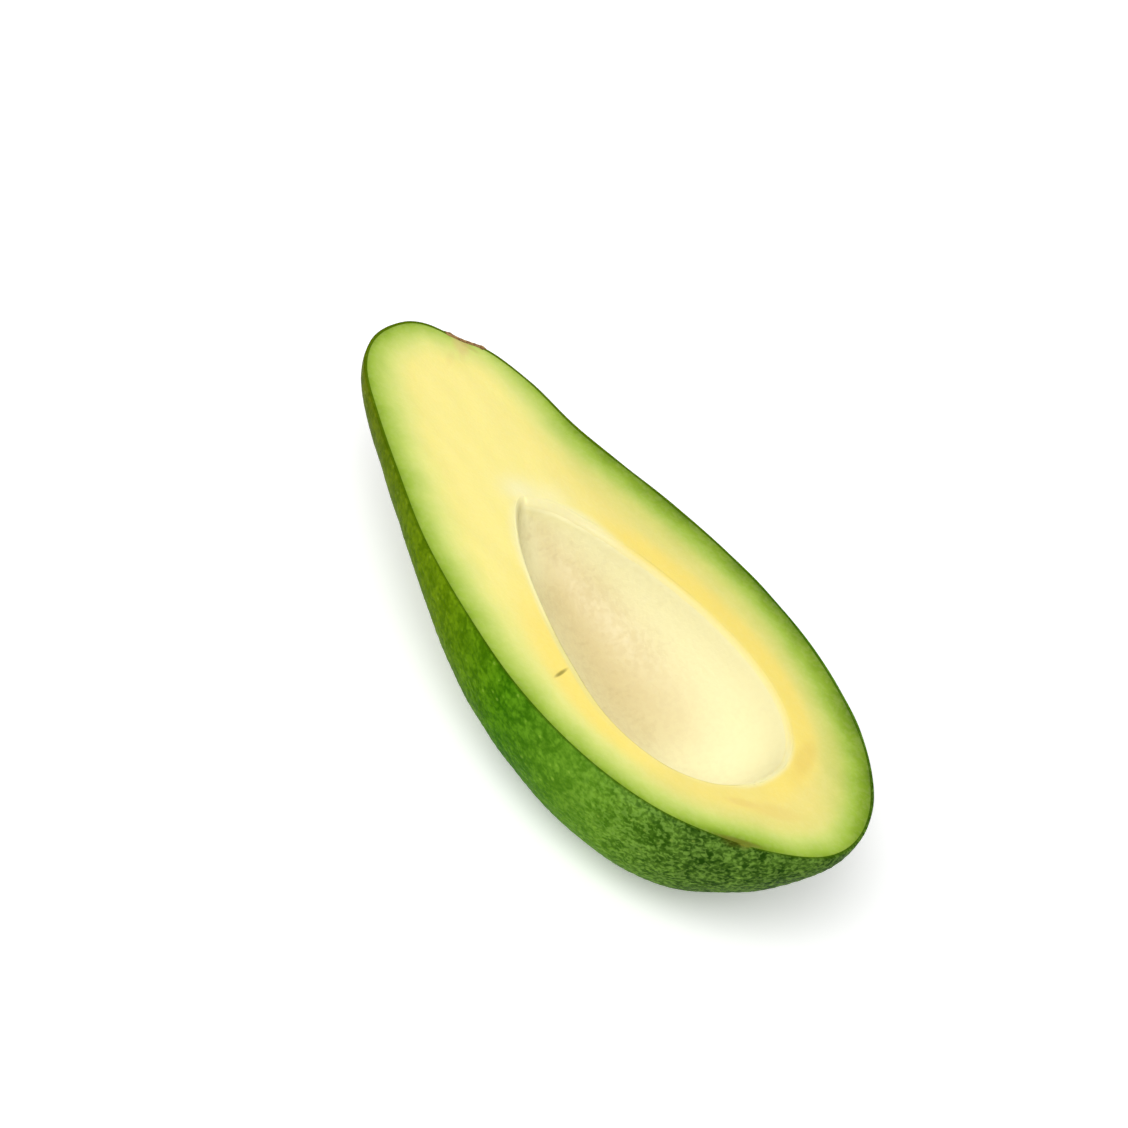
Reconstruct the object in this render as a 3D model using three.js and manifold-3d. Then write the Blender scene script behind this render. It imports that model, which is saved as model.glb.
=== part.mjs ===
// Half an avocado of the long, smooth green kind: cut lengthwise, the stone taken out, and laid on
// its rounded back with the cut face up and level.
//
// Units are millimetres.  +X runs from the stem end to the broad end, +Y across the fruit and +Z up
// out of the cut face.  The origin is on the table, under the middle of the fruit.
import * as THREE from 'three';
import * as BufferGeometryUtils from 'three/addons/utils/BufferGeometryUtils.js';
import Module from 'manifold-3d';

const wasm = await Module();
wasm.setup();

// ---------------------------------------------------------------- driving dimensions

// Cross-sections of the fruit from the stem end to the broad end.  They sit at equal angles round a
// circle on the length, so they crowd together at both ends, where the outline turns fastest.  Each
// gives the near edge and the far edge of the cut face, and how far the back hangs below it.
const FRUIT_HALF_LENGTH = 66.2;
const FRUIT_SECTIONS = [
  { near: 3.5, far: 3.5, deep: 0 },
  { near: -5.3, far: 9.6, deep: 7.5 },
  { near: -12.3, far: 15.8, deep: 10.5 },
  { near: -17.4, far: 19.9, deep: 12.3 },
  { near: -22.7, far: 21.9, deep: 14.0 },
  { near: -28.2, far: 27.0, deep: 20.5 },
  { near: -31.5, far: 31.3, deep: 28.4 },
  { near: -32.9, far: 32.9, deep: 30.7 },
  { near: -30.9, far: 31.0, deep: 30.2 },
  { near: -25.4, far: 26.4, deep: 26.8 },
  { near: -16.3, far: 19.2, deep: 18.0 },
  { near: -6.4, far: 10.8, deep: 7.5 },
  { near: 2.0, far: 2.0, deep: 0 },
];

// The mouth of the stone's seat, in the same way: a drop shape, pointed towards the stem.
const SEAT_HALF_LENGTH = 35;
const SEAT_MIDDLE_X = 14;
const SEAT_SECTIONS = [
  { near: -1.2, far: -1.2, deep: 0 },
  { near: -5.3, far: 4.2, deep: 5.5 },
  { near: -10.4, far: 9.4, deep: 11 },
  { near: -15.1, far: 14.7, deep: 15.2 },
  { near: -18.9, far: 18.3, deep: 17.6 },
  { near: -20.6, far: 18.9, deep: 18 },
  { near: -17.8, far: 15.6, deep: 15.8 },
  { near: -11.0, far: 8.6, deep: 9.7 },
  { near: -1.5, far: -1.5, deep: 0 },
];

// The seat narrows by the lip's width below its mouth, most of it within the lip's depth.
const LIP_WIDTH = 1.3;
const LIP_DEPTH = 1.2;

// The dent where the stem sat, on the cut edge beside the narrow tip.
const STEM_DENT = new THREE.Vector3(-60.2, 11.9, 0);
const STEM_DENT_DEPTH = 1.6;
const STEM_DENT_SPREAD = 3.0;

// The height that the rest flat takes off the back.
const REST_FLAT_HEIGHT = 1.3;

// How finely the surfaces are faceted.
const FRUIT_ROWS = 60;
const FRUIT_FACETS = 56;
const SEAT_ROWS = 36;
const SEAT_FACETS = 40;

const CUTTER_SIZE = 300;
const MERGE_DISTANCE = 1e-5;

const flesh = new THREE.MeshStandardMaterial({ color: 0xe9dd84, roughness: 0.45, metalness: 0 });

// ---------------------------------------------------------------- helpers

// The unit ball as a lathe with its axis on X, its rings at equal angles from end to end.
function unitBall(rows, facets) {
  const profile = [];
  for (let row = 0; row <= rows; row += 1) {
    const angle = (Math.PI * row) / rows;
    const atPole = row === 0 || row === rows;
    profile.push(new THREE.Vector2(atPole ? 0 : Math.sin(angle), -Math.cos(angle)));
  }
  const ball = new THREE.LatheGeometry(profile, facets);
  ball.rotateZ(-Math.PI / 2);
  return ball;
}

// Swells the unit ball out to a row of elliptical cross-sections, all centred on the level z = 0.
// Away from that level the form draws in by up to the given inset.
function loft(sections, halfLength, middleX, rows, facets, inset) {
  const stations = sections.map((s) => new THREE.Vector3(s.near, s.far, s.deep));
  const curve = new THREE.CatmullRomCurve3(stations, false, 'catmullrom');
  const geometry = unitBall(rows, facets);
  const position = geometry.getAttribute('position');
  const station = new THREE.Vector3();
  for (let i = 0; i < position.count; i += 1) {
    const along = THREE.MathUtils.clamp(position.getX(i), -1, 1);
    curve.getPoint(Math.acos(-along) / Math.PI, station);
    const [near, far, deep] = station.toArray();
    const ring = Math.hypot(position.getY(i), position.getZ(i));
    const across = ring > 0 ? position.getY(i) / ring : 0;
    const upward = ring > 0 ? position.getZ(i) / ring : 0;
    const z = deep * upward;
    const drawnIn = inset * (1 - Math.exp(-Math.abs(z) / LIP_DEPTH));
    const x = middleX + (halfLength - drawnIn) * along;
    const y = (near + far) / 2 + ((far - near) / 2 - drawnIn) * across;
    position.setXYZ(i, x, y, z);
  }
  return geometry;
}

// Turns a closed geometry into a solid for cutting.  Corners are merged by place, and the slivers
// that a lathe leaves at its two ends are dropped.
function toSolid(geometry) {
  geometry.deleteAttribute('normal');
  geometry.deleteAttribute('uv');
  const merged = BufferGeometryUtils.mergeVertices(geometry, MERGE_DISTANCE);
  const index = merged.getIndex().array;
  const triangles = [];
  for (let i = 0; i < index.length; i += 3) {
    const corners = index.slice(i, i + 3);
    if (new Set(corners).size === 3) {
      triangles.push(...corners);
    }
  }
  const mesh = new wasm.Mesh({
    numProp: 3,
    vertProperties: Float32Array.from(merged.getAttribute('position').array),
    triVerts: Uint32Array.from(triangles),
  });
  return new wasm.Manifold(mesh);
}

function toGeometry(solid) {
  const mesh = solid.getMesh();
  const geometry = new THREE.BufferGeometry();
  geometry.setAttribute('position', new THREE.BufferAttribute(mesh.vertProperties, 3));
  geometry.setIndex(new THREE.BufferAttribute(mesh.triVerts, 1));
  geometry.computeVertexNormals();
  return geometry;
}

// A block far larger than the fruit that takes away all above z (side 1) or all below it (side -1).
function cutter(z, side) {
  const block = new THREE.BoxGeometry(CUTTER_SIZE, CUTTER_SIZE, CUTTER_SIZE);
  block.translate(0, 0, z + (side * CUTTER_SIZE) / 2);
  return toSolid(block);
}

// ---------------------------------------------------------------- the fruit

// The whole pear-shaped fruit about the cut level, with the stem's dent pressed in.
function wholeFruit() {
  const geometry = loft(FRUIT_SECTIONS, FRUIT_HALF_LENGTH, 0, FRUIT_ROWS, FRUIT_FACETS, 0);
  const inward = STEM_DENT.clone().negate().normalize();
  const position = geometry.getAttribute('position');
  const point = new THREE.Vector3();
  for (let i = 0; i < position.count; i += 1) {
    point.fromBufferAttribute(position, i);
    const reach = point.distanceTo(STEM_DENT) / STEM_DENT_SPREAD;
    point.addScaledVector(inward, STEM_DENT_DEPTH * Math.exp(-(reach ** 2) / 2));
    position.setXYZ(i, ...point.toArray());
  }
  return toSolid(geometry);
}

// The hollow that the stone leaves.
function stoneSeat() {
  const geometry = loft(
    SEAT_SECTIONS, SEAT_HALF_LENGTH, SEAT_MIDDLE_X, SEAT_ROWS, SEAT_FACETS, LIP_WIDTH,
  );
  return toSolid(geometry);
}

// The half as it lies: cut level on top, rest flat on the table.
function avocadoHalf() {
  const backDepth = Math.max(...FRUIT_SECTIONS.map((s) => s.deep));
  const faceHeight = backDepth - REST_FLAT_HEIGHT;
  const solid = wholeFruit()
    .subtract(cutter(0, 1))
    .subtract(stoneSeat())
    .subtract(cutter(-faceHeight, -1));
  const half = new THREE.Mesh(toGeometry(solid), flesh);
  half.name = 'avocado_half';
  half.position.z = faceHeight;
  return half;
}

const avocado = new THREE.Group();
avocado.add(avocadoHalf());

export default avocado;
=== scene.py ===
# %% [markdown]
# # Half an avocado, cut lengthwise, with its stone taken out
#
# The half lies on its back with the cut face level.  +X runs from the stem to the broad end, +Z
# comes up out of the cut face, and the table is z = 0.  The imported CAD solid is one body.  In its
# place this lesson models four things a cook would name: the pebbled skin, the flesh, the papery
# lining that the stone leaves in its seat, and the corky scar of the stem.

import math

import bpy
import numpy as np
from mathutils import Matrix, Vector, kdtree, noise


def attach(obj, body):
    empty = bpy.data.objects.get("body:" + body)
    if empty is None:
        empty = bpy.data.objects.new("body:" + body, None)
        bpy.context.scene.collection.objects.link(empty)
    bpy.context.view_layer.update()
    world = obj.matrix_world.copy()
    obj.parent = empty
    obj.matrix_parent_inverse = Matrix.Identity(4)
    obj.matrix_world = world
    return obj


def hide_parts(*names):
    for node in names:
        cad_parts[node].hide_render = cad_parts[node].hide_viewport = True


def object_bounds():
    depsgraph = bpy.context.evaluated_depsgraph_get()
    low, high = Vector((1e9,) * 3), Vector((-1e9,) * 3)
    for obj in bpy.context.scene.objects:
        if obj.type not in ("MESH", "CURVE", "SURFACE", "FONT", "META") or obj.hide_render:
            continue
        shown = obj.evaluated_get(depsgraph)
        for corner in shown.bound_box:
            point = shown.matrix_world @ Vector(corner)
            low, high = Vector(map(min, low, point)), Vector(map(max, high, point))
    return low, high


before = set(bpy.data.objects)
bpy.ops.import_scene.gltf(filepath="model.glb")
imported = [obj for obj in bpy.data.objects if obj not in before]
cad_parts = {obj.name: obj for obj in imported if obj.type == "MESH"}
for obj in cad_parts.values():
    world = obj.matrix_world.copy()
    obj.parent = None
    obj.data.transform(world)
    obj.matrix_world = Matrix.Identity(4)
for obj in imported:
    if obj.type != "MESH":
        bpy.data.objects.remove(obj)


def as_numbers(box):
    """The two corners of a box as plain lists of numbers."""
    return [[float(value) for value in corner] for corner in box]


cad_box = as_numbers(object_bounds())
print("the CAD solid's box, in metres:", cad_box)

# %% [markdown]
# ## The camera and the picture's tones
#
# A long lens from 0.7 m keeps the half's shape calm, as in a studio.  The camera is rolled, so
# the fruit runs down the picture from upper left to lower right.  Its three axes are written out
# as directions, which are easier to read than angles.  The tones are shown just as they are
# computed, because a bright studio picture has its white table at full white.

# %% Place the camera
CAMERA_PLACE = (0.3020, -0.4725, 0.4509)
CAMERA_RIGHT = (0.5685, 0.7243, 0.3901)
CAMERA_UP = (-0.6961, 0.1709, 0.6973)
CAMERA_BACK = (0.4384, -0.6679, 0.6014)
FOCAL_LENGTH = 129.57
SENSOR_WIDTH = 36.0
NEAREST_IN_VIEW = 0.01

camera_data = bpy.data.cameras.new("studio_camera")
camera_data.lens = FOCAL_LENGTH
camera_data.sensor_width = SENSOR_WIDTH
camera_data.sensor_fit = "HORIZONTAL"
camera_data.clip_start = NEAREST_IN_VIEW
camera = bpy.data.objects.new("studio_camera", camera_data)
bpy.context.scene.collection.objects.link(camera)
for row in range(3):
    for column, way in enumerate((CAMERA_RIGHT, CAMERA_UP, CAMERA_BACK, CAMERA_PLACE)):
        camera.matrix_world[row][column] = way[row]
bpy.context.scene.camera = camera
bpy.context.scene.view_settings.view_transform = "Standard"
bpy.context.scene.view_settings.look = "None"
print("camera is", round(Vector(CAMERA_PLACE).length, 3), "m from the frame's origin")

# %% [markdown]
# ## The form of the fruit
#
# Both the fruit and the stone's seat are rows of half-ovals strung along X, like ribs in a boat.
# A station gives how far a rib reaches to the near side and to the far side, and how deep it
# goes.  The stations sit at equal angles round a circle on the length, so they crowd together at
# both ends, and a smooth curve through them fills in between.  Written as a formula of two
# angles, the same form serves every piece: the skin's outside, its inside, and the flesh's back
# are one surface at different depths, so they fit each other exactly.

# %% The stations, in millimetres
MM = 0.001
FACE_HEIGHT = round(cad_box[1][2] / MM, 3)
FRUIT_HALF_LENGTH = round(cad_box[1][0] / MM, 3)
FRUIT_STATIONS = [
    (3.5, 3.5, 0.0),
    (-5.3, 9.6, 5.4),
    (-12.3, 15.8, 9.8),
    (-17.4, 19.9, 13.4),
    (-22.7, 21.9, 15.6),
    (-28.2, 27.0, 20.5),
    (-31.5, 31.3, 28.4),
    (-32.9, 32.9, 30.7),
    (-30.9, 31.0, 30.2),
    (-25.4, 26.4, 26.8),
    (-16.3, 19.2, 18.0),
    (-6.4, 10.8, 7.5),
    (2.0, 2.0, 0.0),
]
SEAT_HALF_LENGTH = 35.0
SEAT_MIDDLE_X = 14.0
SEAT_STATIONS = [
    (-1.2, -1.2, 0.0),
    (-5.3, 4.2, 5.5),
    (-10.4, 9.4, 11.0),
    (-15.1, 14.7, 15.2),
    (-18.9, 18.3, 17.6),
    (-20.6, 18.9, 18.0),
    (-17.8, 15.6, 15.8),
    (-11.0, 8.6, 9.7),
    (-1.5, -1.5, 0.0),
]
STEM_DENT = np.array([-60.2, 11.9, 0.0])
STEM_DENT_DEPTH = 1.6
STEM_DENT_SPREAD = 3.0


def station_at(stations, share):
    """Near reach, far reach and depth of a rib at a share of the way from end to end.

    The curve between two stations is a cubic that leans at each one as its neighbours do.
    """
    given = np.array(stations)
    ends = (2 * given[:1] - given[1:2], 2 * given[-1:] - given[-2:-1])
    rows = np.concatenate((ends[0], given, ends[1]))
    place = share * (len(given) - 1)
    first = np.minimum(np.floor(place).astype(int), len(given) - 2)
    part = (place - first)[:, None]
    before, start, end, after = (rows[first + step] for step in range(4))
    lean_in, lean_out = 0.5 * (end - start + start - before), 0.5 * (after - start)
    return (
        start
        + lean_in * part
        + (3 * (end - start) - 2 * lean_in - lean_out) * part**2
        + (2 * (start - end) + lean_in + lean_out) * part**3
    )


print(len(FRUIT_STATIONS), "stations for the fruit and", len(SEAT_STATIONS), "for the seat")

# %% The fruit's surface at any depth below its skin
ANGLE_STEP = 0.002
POLE_GUARD = 4 * ANGLE_STEP
AT_RIM = 1e-6
SKIN_THICKNESS = 0.62


def fruit_point(theta, phi):
    """A point of the skin: theta runs from stem to broad end, phi from near rim to far rim."""
    near, far, deep = station_at(FRUIT_STATIONS, theta / math.pi).T
    point = np.stack(
        (
            -FRUIT_HALF_LENGTH * np.cos(theta),
            (near + far) / 2 - (far - near) / 2 * np.cos(phi),
            -deep * np.sin(phi),
        ),
        axis=1,
    )
    reach = np.linalg.norm(point - STEM_DENT, axis=1) / STEM_DENT_SPREAD
    inward = -STEM_DENT / np.linalg.norm(STEM_DENT)
    return point + inward * (STEM_DENT_DEPTH * np.exp(-(reach**2) / 2))[:, None]


def fruit_normal(theta, phi):
    """The outward direction of the skin there, kept level along the rim of the cut."""
    inner = np.clip(theta, POLE_GUARD, math.pi - POLE_GUARD)
    along = fruit_point(inner + ANGLE_STEP, phi) - fruit_point(inner - ANGLE_STEP, phi)
    round_ring = fruit_point(inner, phi + ANGLE_STEP) - fruit_point(inner, phi - ANGLE_STEP)
    normal = np.cross(round_ring, along)
    at_rim = (phi < AT_RIM) | (phi > math.pi - AT_RIM) | (np.sin(theta) < AT_RIM)
    normal[at_rim, 2] = 0
    return normal / np.linalg.norm(normal, axis=1)[:, None]


def flesh_back_point(theta, phi):
    """The same surface one skin's thickness further in, where the flesh begins."""
    point = fruit_point(theta, phi) - fruit_normal(theta, phi) * SKIN_THICKNESS
    point[:, 2] = np.maximum(point[:, 2], SKIN_THICKNESS - FACE_HEIGHT)
    return point


middle = np.array([math.pi / 2])
print("outward at the keel:", fruit_normal(middle, middle).round(2))

# %% [markdown]
# ## From a primitive to a shaped bowl
#
# Each bowl starts as a flat grid.  It is rolled like a sheet of dough into the lower half of a
# ball with its poles on X, and its two gathered ends are merged to a point.  Half a UV sphere
# would do too, but a large grid is made many times faster.  The rows are then spread evenly along
# the fruit, or crowded towards the seat's lip, and the corners are moved by the formula.

# %% Helpers that pick and roll
ROW_EVENNESS = 0.18
AT_CUT = 1e-5
POLE_MERGE = 1e-6


def only(*pieces):
    """Selects these objects and nothing else."""
    bpy.ops.object.select_all(action="DESELECT")
    for piece in pieces:
        piece.select_set(True)
    bpy.context.view_layer.objects.active = pieces[0]


def corners(piece):
    """The corners of a mesh as an array."""
    flat = np.zeros(len(piece.data.vertices) * 3, dtype=np.float32)
    piece.data.vertices.foreach_get("co", flat)
    return flat.reshape(-1, 3).astype(float)


def set_corners(piece, places):
    """Moves the corners of a mesh to these places."""
    piece.data.vertices.foreach_set("co", places.astype(np.float32).ravel())
    piece.data.update()


def set_finished(piece, places):
    """Sets corners given in millimetres about the cut level, in metres above the table."""
    set_corners(piece, (places + (0, 0, FACE_HEIGHT)) * MM)


def half_ball(name, rows, facets):
    """A sheet rolled into the lower half of a unit ball, poles on X.  Returns it and its angles."""
    bpy.ops.object.select_all(action="DESELECT")
    bpy.ops.mesh.primitive_grid_add(x_subdivisions=rows, y_subdivisions=facets, size=2)
    ball = bpy.context.object
    ball.name = name
    theta, phi = (corners(ball)[:, :2].T + 1) * math.pi / 2
    rolled = (-np.cos(theta), -np.sin(theta) * np.cos(phi), -np.sin(theta) * np.sin(phi))
    set_corners(ball, np.stack(rolled, axis=1))
    bpy.ops.object.mode_set(mode="EDIT")
    bpy.ops.mesh.select_all(action="SELECT")
    bpy.ops.mesh.remove_doubles(threshold=POLE_MERGE)
    bpy.ops.object.mode_set(mode="OBJECT")
    x, y, z = corners(ball).T
    theta = np.arctan2(np.hypot(y, z), -x)
    phi = np.arctan2(np.maximum(-z, 0), -y)
    phi[np.hypot(y, z) < AT_CUT] = 0
    phi[(np.abs(z) < AT_CUT) & (y > AT_CUT)] = math.pi
    return ball, theta, phi


def even_rows(theta):
    """Spreads the rows evenly along the fruit."""
    return theta + ROW_EVENNESS * np.sin(2 * theta)


# %% Helpers that join, cut and describe
HANG = 25.0


def face_outwards():
    """Turns every face of a closed form, which is open for editing, to face outwards."""
    bpy.ops.mesh.select_all(action="SELECT")
    bpy.ops.mesh.normals_make_consistent(inside=False)


def bridge_rims(outer, inner, cuts):
    """Joins two bowls whose rims lie at z = 0 and closes the gap between the rims.

    Bridge has to tell which rim lies above the other, so the inner bowl hangs lower until it is
    done, and all corners are then brought to where they belong.  The faces are turned outwards
    last, because only the finished form has its true inside.
    """
    places = np.concatenate((corners(outer), corners(inner)))
    set_corners(inner, corners(inner) - (0, 0, HANG))
    only(outer, inner)
    bpy.ops.object.join()
    bpy.ops.object.mode_set(mode="EDIT")
    bpy.ops.mesh.select_mode(type="EDGE")
    bpy.ops.mesh.select_all(action="DESELECT")
    bpy.ops.mesh.select_non_manifold(
        extend=False, use_wire=False, use_multi_face=False, use_non_contiguous=False,
        use_verts=False, use_boundary=True,
    )
    bpy.ops.mesh.bridge_edge_loops(type="SINGLE", number_cuts=cuts, interpolation="LINEAR")
    bpy.ops.object.mode_set(mode="OBJECT")
    joined = corners(outer)
    joined[: len(places)] = places
    joined[len(places) :, 2] = 0
    set_corners(outer, joined)
    bpy.ops.object.mode_set(mode="EDIT")
    face_outwards()
    bpy.ops.object.mode_set(mode="OBJECT")
    return outer


def cut_off_above(piece, height, snap, closed):
    """Cuts off what is higher than a height over the cut level, all in millimetres.

    Corners nearer to the plane than the snap count as lying on it.  A closed form stays closed.
    """
    only(piece)
    bpy.ops.object.mode_set(mode="EDIT")
    bpy.ops.mesh.select_all(action="SELECT")
    bpy.ops.mesh.bisect(
        plane_co=(0, 0, (FACE_HEIGHT + height) * MM), plane_no=(0, 0, 1),
        clear_outer=True, use_fill=closed, threshold=snap * MM,
    )
    if closed:
        face_outwards()
    bpy.ops.object.mode_set(mode="OBJECT")


def write_values(piece, name, values):
    """Keeps one number for each corner, for a material to read by name."""
    layer = piece.data.attributes.new(name, "FLOAT", "POINT")
    layer.data.foreach_set("value", np.asarray(values, dtype=np.float32))


def describe(piece):
    """Prints a piece's size, and the names of the numbers kept with it."""
    triangles = sum(len(face.vertices) - 2 for face in piece.data.polygons)
    low, high = corners(piece).min(axis=0), corners(piece).max(axis=0)
    kept = [layer.name for layer in piece.data.attributes if layer.data_type == "FLOAT"]
    print(piece.name, "-", triangles, "triangles, from", low.round(4), "to", high.round(4))
    print("  numbers kept with it:", ", ".join(kept) or "none")


# %% [markdown]
# ## The skin
#
# The skin is a leathery rind under a millimetre thick.  Its outside is set with low round
# pebbles a millimetre or two wide, over softer swellings.  A bump map alone would leave the
# outline smooth, so the pebbles are real: every corner of a fine bowl moves out by the height of
# a cell pattern, less on the neck and towards the cut.  The inside is a coarser bowl, and a
# bridge between the two rims makes the thin edge that shows around the cut.

# %% Pebbles
PEBBLE_SIZE = 1.5
PEBBLE_HEIGHT = 0.10
PEBBLE_LEVEL = 0.6
PEBBLE_STEEPNESS = 1.6
PEBBLE_BEND_SCALE = 0.6
PEBBLE_BEND = 0.35
SWELL_SIZE = 9.0
SWELL_HEIGHT = 0.22
PEBBLE_SEED = 5

# The bend comes from random numbers, so a fixed seed gives the same pebbles on every run.
noise.seed_set(PEBBLE_SEED)


def pebble_height(place):
    """How high the pebbles stand at a place, from 0 in a groove to 1 on a crown."""
    spot = Vector(place) / PEBBLE_SIZE
    spot += noise.noise_vector(spot * PEBBLE_BEND_SCALE) * PEBBLE_BEND
    distances = noise.voronoi(spot)[0]
    return min((distances[1] - distances[0]) * PEBBLE_STEEPNESS, 1.0)


def swell_height(place):
    """How high the broad swellings stand at a place, from about -1 to 1."""
    return noise.noise(Vector(place) / SWELL_SIZE)


# %% Shape the two sides of the skin
SKIN_ROWS = 350
SKIN_FACETS = 250
INNER_FACETS = 16
SMOOTH_NECK_X = -30.0
NECK_FADE = 30.0
NECK_SHARE = 0.45
CUT_FADE = 2.5
CUT_SHARE = 0.15

skin, theta, phi = half_ball("avocado_skin", SKIN_ROWS, SKIN_FACETS)
theta = even_rows(theta)
outside = fruit_point(theta, phi)
outward = fruit_normal(theta, phi)
pebbles = np.array([pebble_height(place) for place in outside])
swells = np.array([swell_height(place) for place in outside])
neck = np.clip((outside[:, 0] - SMOOTH_NECK_X) / NECK_FADE + 0.5, NECK_SHARE, 1.0)
near_cut = np.clip(-outside[:, 2] / CUT_FADE, CUT_SHARE, 1.0)
rise = PEBBLE_HEIGHT * (pebbles - PEBBLE_LEVEL) * neck * near_cut + SWELL_HEIGHT * swells
outside += outward * rise[:, None]
outside[:, 2] = np.maximum(outside[:, 2], -FACE_HEIGHT)
set_corners(skin, outside)
write_values(skin, "pebble", pebbles)
write_values(skin, "on_skin", np.ones(len(pebbles)))

skin_inside, theta, phi = half_ball("skin_inside", SKIN_ROWS, INNER_FACETS)
theta = even_rows(theta)
set_corners(skin_inside, flesh_back_point(theta, phi))
skin = bridge_rims(skin, skin_inside, 0)
set_finished(skin, corners(skin))
describe(skin)

# %% [markdown]
# ## The flesh and the seat
#
# The flesh is one closed form: a back that fits inside the skin, a broad level face, and the
# hollow of the stone.  The face is a bridge between the two rims with many cuts.  The lip is a
# quarter circle, wider at the seat's pointed end, as ripe flesh gives when a stone is pulled out.
# Below it the far wall and the round end lean in as they go down, so they catch the light from
# above and show as a pale slope, not as a dark step.

# %% The seat's surface
SEAT_WALL_INSET = 1.55
NEAR_POINT_INSET = 0.5
LIP_RADIUS = 0.85
FAR_POINT_SOFTNESS = 1.4
FAR_POINT_FOCUS = 12
NEAR_POINT_SOFTNESS = 0.6
NEAR_POINT_FOCUS = 40
WALL_LEAN = 0.55
WALL_LEAN_DEPTH = 4.0
ROUND_END_LEAN = 2.2
ROUND_END_FOCUS = 16
LIP_CROWDING = 0.49


def lip_radius(theta, phi):
    """The radius of the lip: wider at the pointed end, most of all on its far side."""
    far_side = (1 - np.cos(phi)) / 2
    far_soft = far_side * np.cos(theta / 2) ** FAR_POINT_FOCUS
    near_soft = (1 - far_side) * np.cos(theta / 2) ** NEAR_POINT_FOCUS
    return LIP_RADIUS + FAR_POINT_SOFTNESS * far_soft + NEAR_POINT_SOFTNESS * near_soft


def wall_inset(theta, phi):
    """How far the wall stands inside the mouth: less on the near side towards the point."""
    near_side = (1 + np.cos(phi)) / 2
    return SEAT_WALL_INSET - (SEAT_WALL_INSET - NEAR_POINT_INSET) * (
        near_side * np.cos(theta / 2) ** 2
    )


def wall_lean(theta, phi, depth):
    """How much further in the far wall and the round end stand as they go down."""
    far_side = (1 - np.cos(phi)) / 2
    leaning = far_side + (ROUND_END_LEAN - far_side) * np.sin(theta / 2) ** ROUND_END_FOCUS
    return WALL_LEAN * leaning * (1 - np.exp(-depth / WALL_LEAN_DEPTH))


def seat_point(theta, phi):
    """A point of the hollow: theta runs from its pointed end to its round end."""
    near, far, deep = station_at(SEAT_STATIONS, theta / math.pi).T
    depth = deep * np.sin(phi)
    radius = lip_radius(theta, phi)
    in_lip = np.minimum(depth, radius)
    drawn_in = np.sqrt(2 * radius * in_lip - in_lip**2) - radius + wall_inset(theta, phi)
    drawn_in += wall_lean(theta, phi, depth)
    return np.stack(
        (
            SEAT_MIDDLE_X - (SEAT_HALF_LENGTH - drawn_in) * np.cos(theta),
            (near + far) / 2 - ((far - near) / 2 - drawn_in * np.sin(theta)) * np.cos(phi),
            -depth,
        ),
        axis=1,
    )


def crowd_lip(phi):
    """Moves the corners round a rib towards the lip on both sides."""
    return phi - LIP_CROWDING * np.sin(2 * phi)


# %% Shape the flesh
SEAT_FACETS = 64
FACE_CUTS = 50
BACK_FACETS = 14

back, theta, phi = half_ball("flesh_back", SKIN_ROWS, BACK_FACETS)
theta = even_rows(theta)
set_corners(back, flesh_back_point(theta, phi))

flesh, theta, phi = half_ball("avocado_flesh", SKIN_ROWS, SEAT_FACETS)
theta = even_rows(theta)
set_corners(flesh, seat_point(theta, crowd_lip(phi)))

flesh = bridge_rims(back, flesh, FACE_CUTS)
flesh.name = "avocado_flesh"
describe(flesh)

# %% [markdown]
# The colour of the cut runs with the distance from the skin and from the seat, so those two
# distances are measured for every corner.  The tones below are worked out from them and kept
# with the mesh.

# %% Measure distances on the face
RIM_SAMPLES = 3000
FACE_TOLERANCE = 0.01


def rim_tree(point_of):
    """A search tree of the points along a rim at the cut level."""
    angles = np.linspace(0, math.pi, RIM_SAMPLES)
    points = np.concatenate(
        (point_of(angles, np.zeros(RIM_SAMPLES)), point_of(angles, np.full(RIM_SAMPLES, math.pi)))
    )
    tree = kdtree.KDTree(len(points))
    for index, point in enumerate(points):
        tree.insert(point, index)
    tree.balance()
    return tree


def mouth_point(theta, phi):
    """The seat's outline as its stations give it, close to the outer edge of the rounded lip.

    It has two sides: phi is 0 on the near one and pi on the far one.
    """
    near, far, _ = station_at(SEAT_STATIONS, theta / math.pi).T
    x = SEAT_MIDDLE_X - SEAT_HALF_LENGTH * np.cos(theta)
    return np.stack((x, np.where(phi < 1, near, far), np.zeros(len(x))), axis=1)


def in_mouth(places):
    """Which places lie inside that outline, seen from above."""
    share = (SEAT_MIDDLE_X - places[:, 0]) / SEAT_HALF_LENGTH
    near, far, _ = station_at(SEAT_STATIONS, np.arccos(np.clip(share, -1, 1)) / math.pi).T
    return (np.abs(share) < 1) & (places[:, 1] > near) & (places[:, 1] < far)


def reach_from(tree, places):
    """How far each place is from a rim, seen from above."""
    return np.array([tree.find(place)[2] for place in places * (1, 1, 0)])


places = corners(flesh)
x, y, z = places.T
below = -z
from_skin = reach_from(rim_tree(flesh_back_point), places)
from_mouth = reach_from(rim_tree(mouth_point), places) * np.where(in_mouth(places), -1, 1)
print("the face is up to", from_skin[below < FACE_TOLERANCE].max().round(1), "mm from the skin")

# %% [markdown]
# ## Tones of the face
#
# A ripe cut isn't the same all round.  The green runs deeper at the broad end and is thin beside
# the scar, and a deeper green along the far rim is painted shade.  A band of richer yellow follows
# the seat, a duller mustard lies outside it, and the seat's lip and point are cream.  Each of these
# becomes one number for every corner: a product of soft steps along the fruit (x) and across it
# (y).

# %% Helpers for tones
def ease(value, low, high):
    """0 below low, 1 above high, and a soft curve between; low may be the larger one."""
    share = np.clip((value - low) / (high - low), 0, 1)
    return share * share * (3 - 2 * share)


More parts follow.
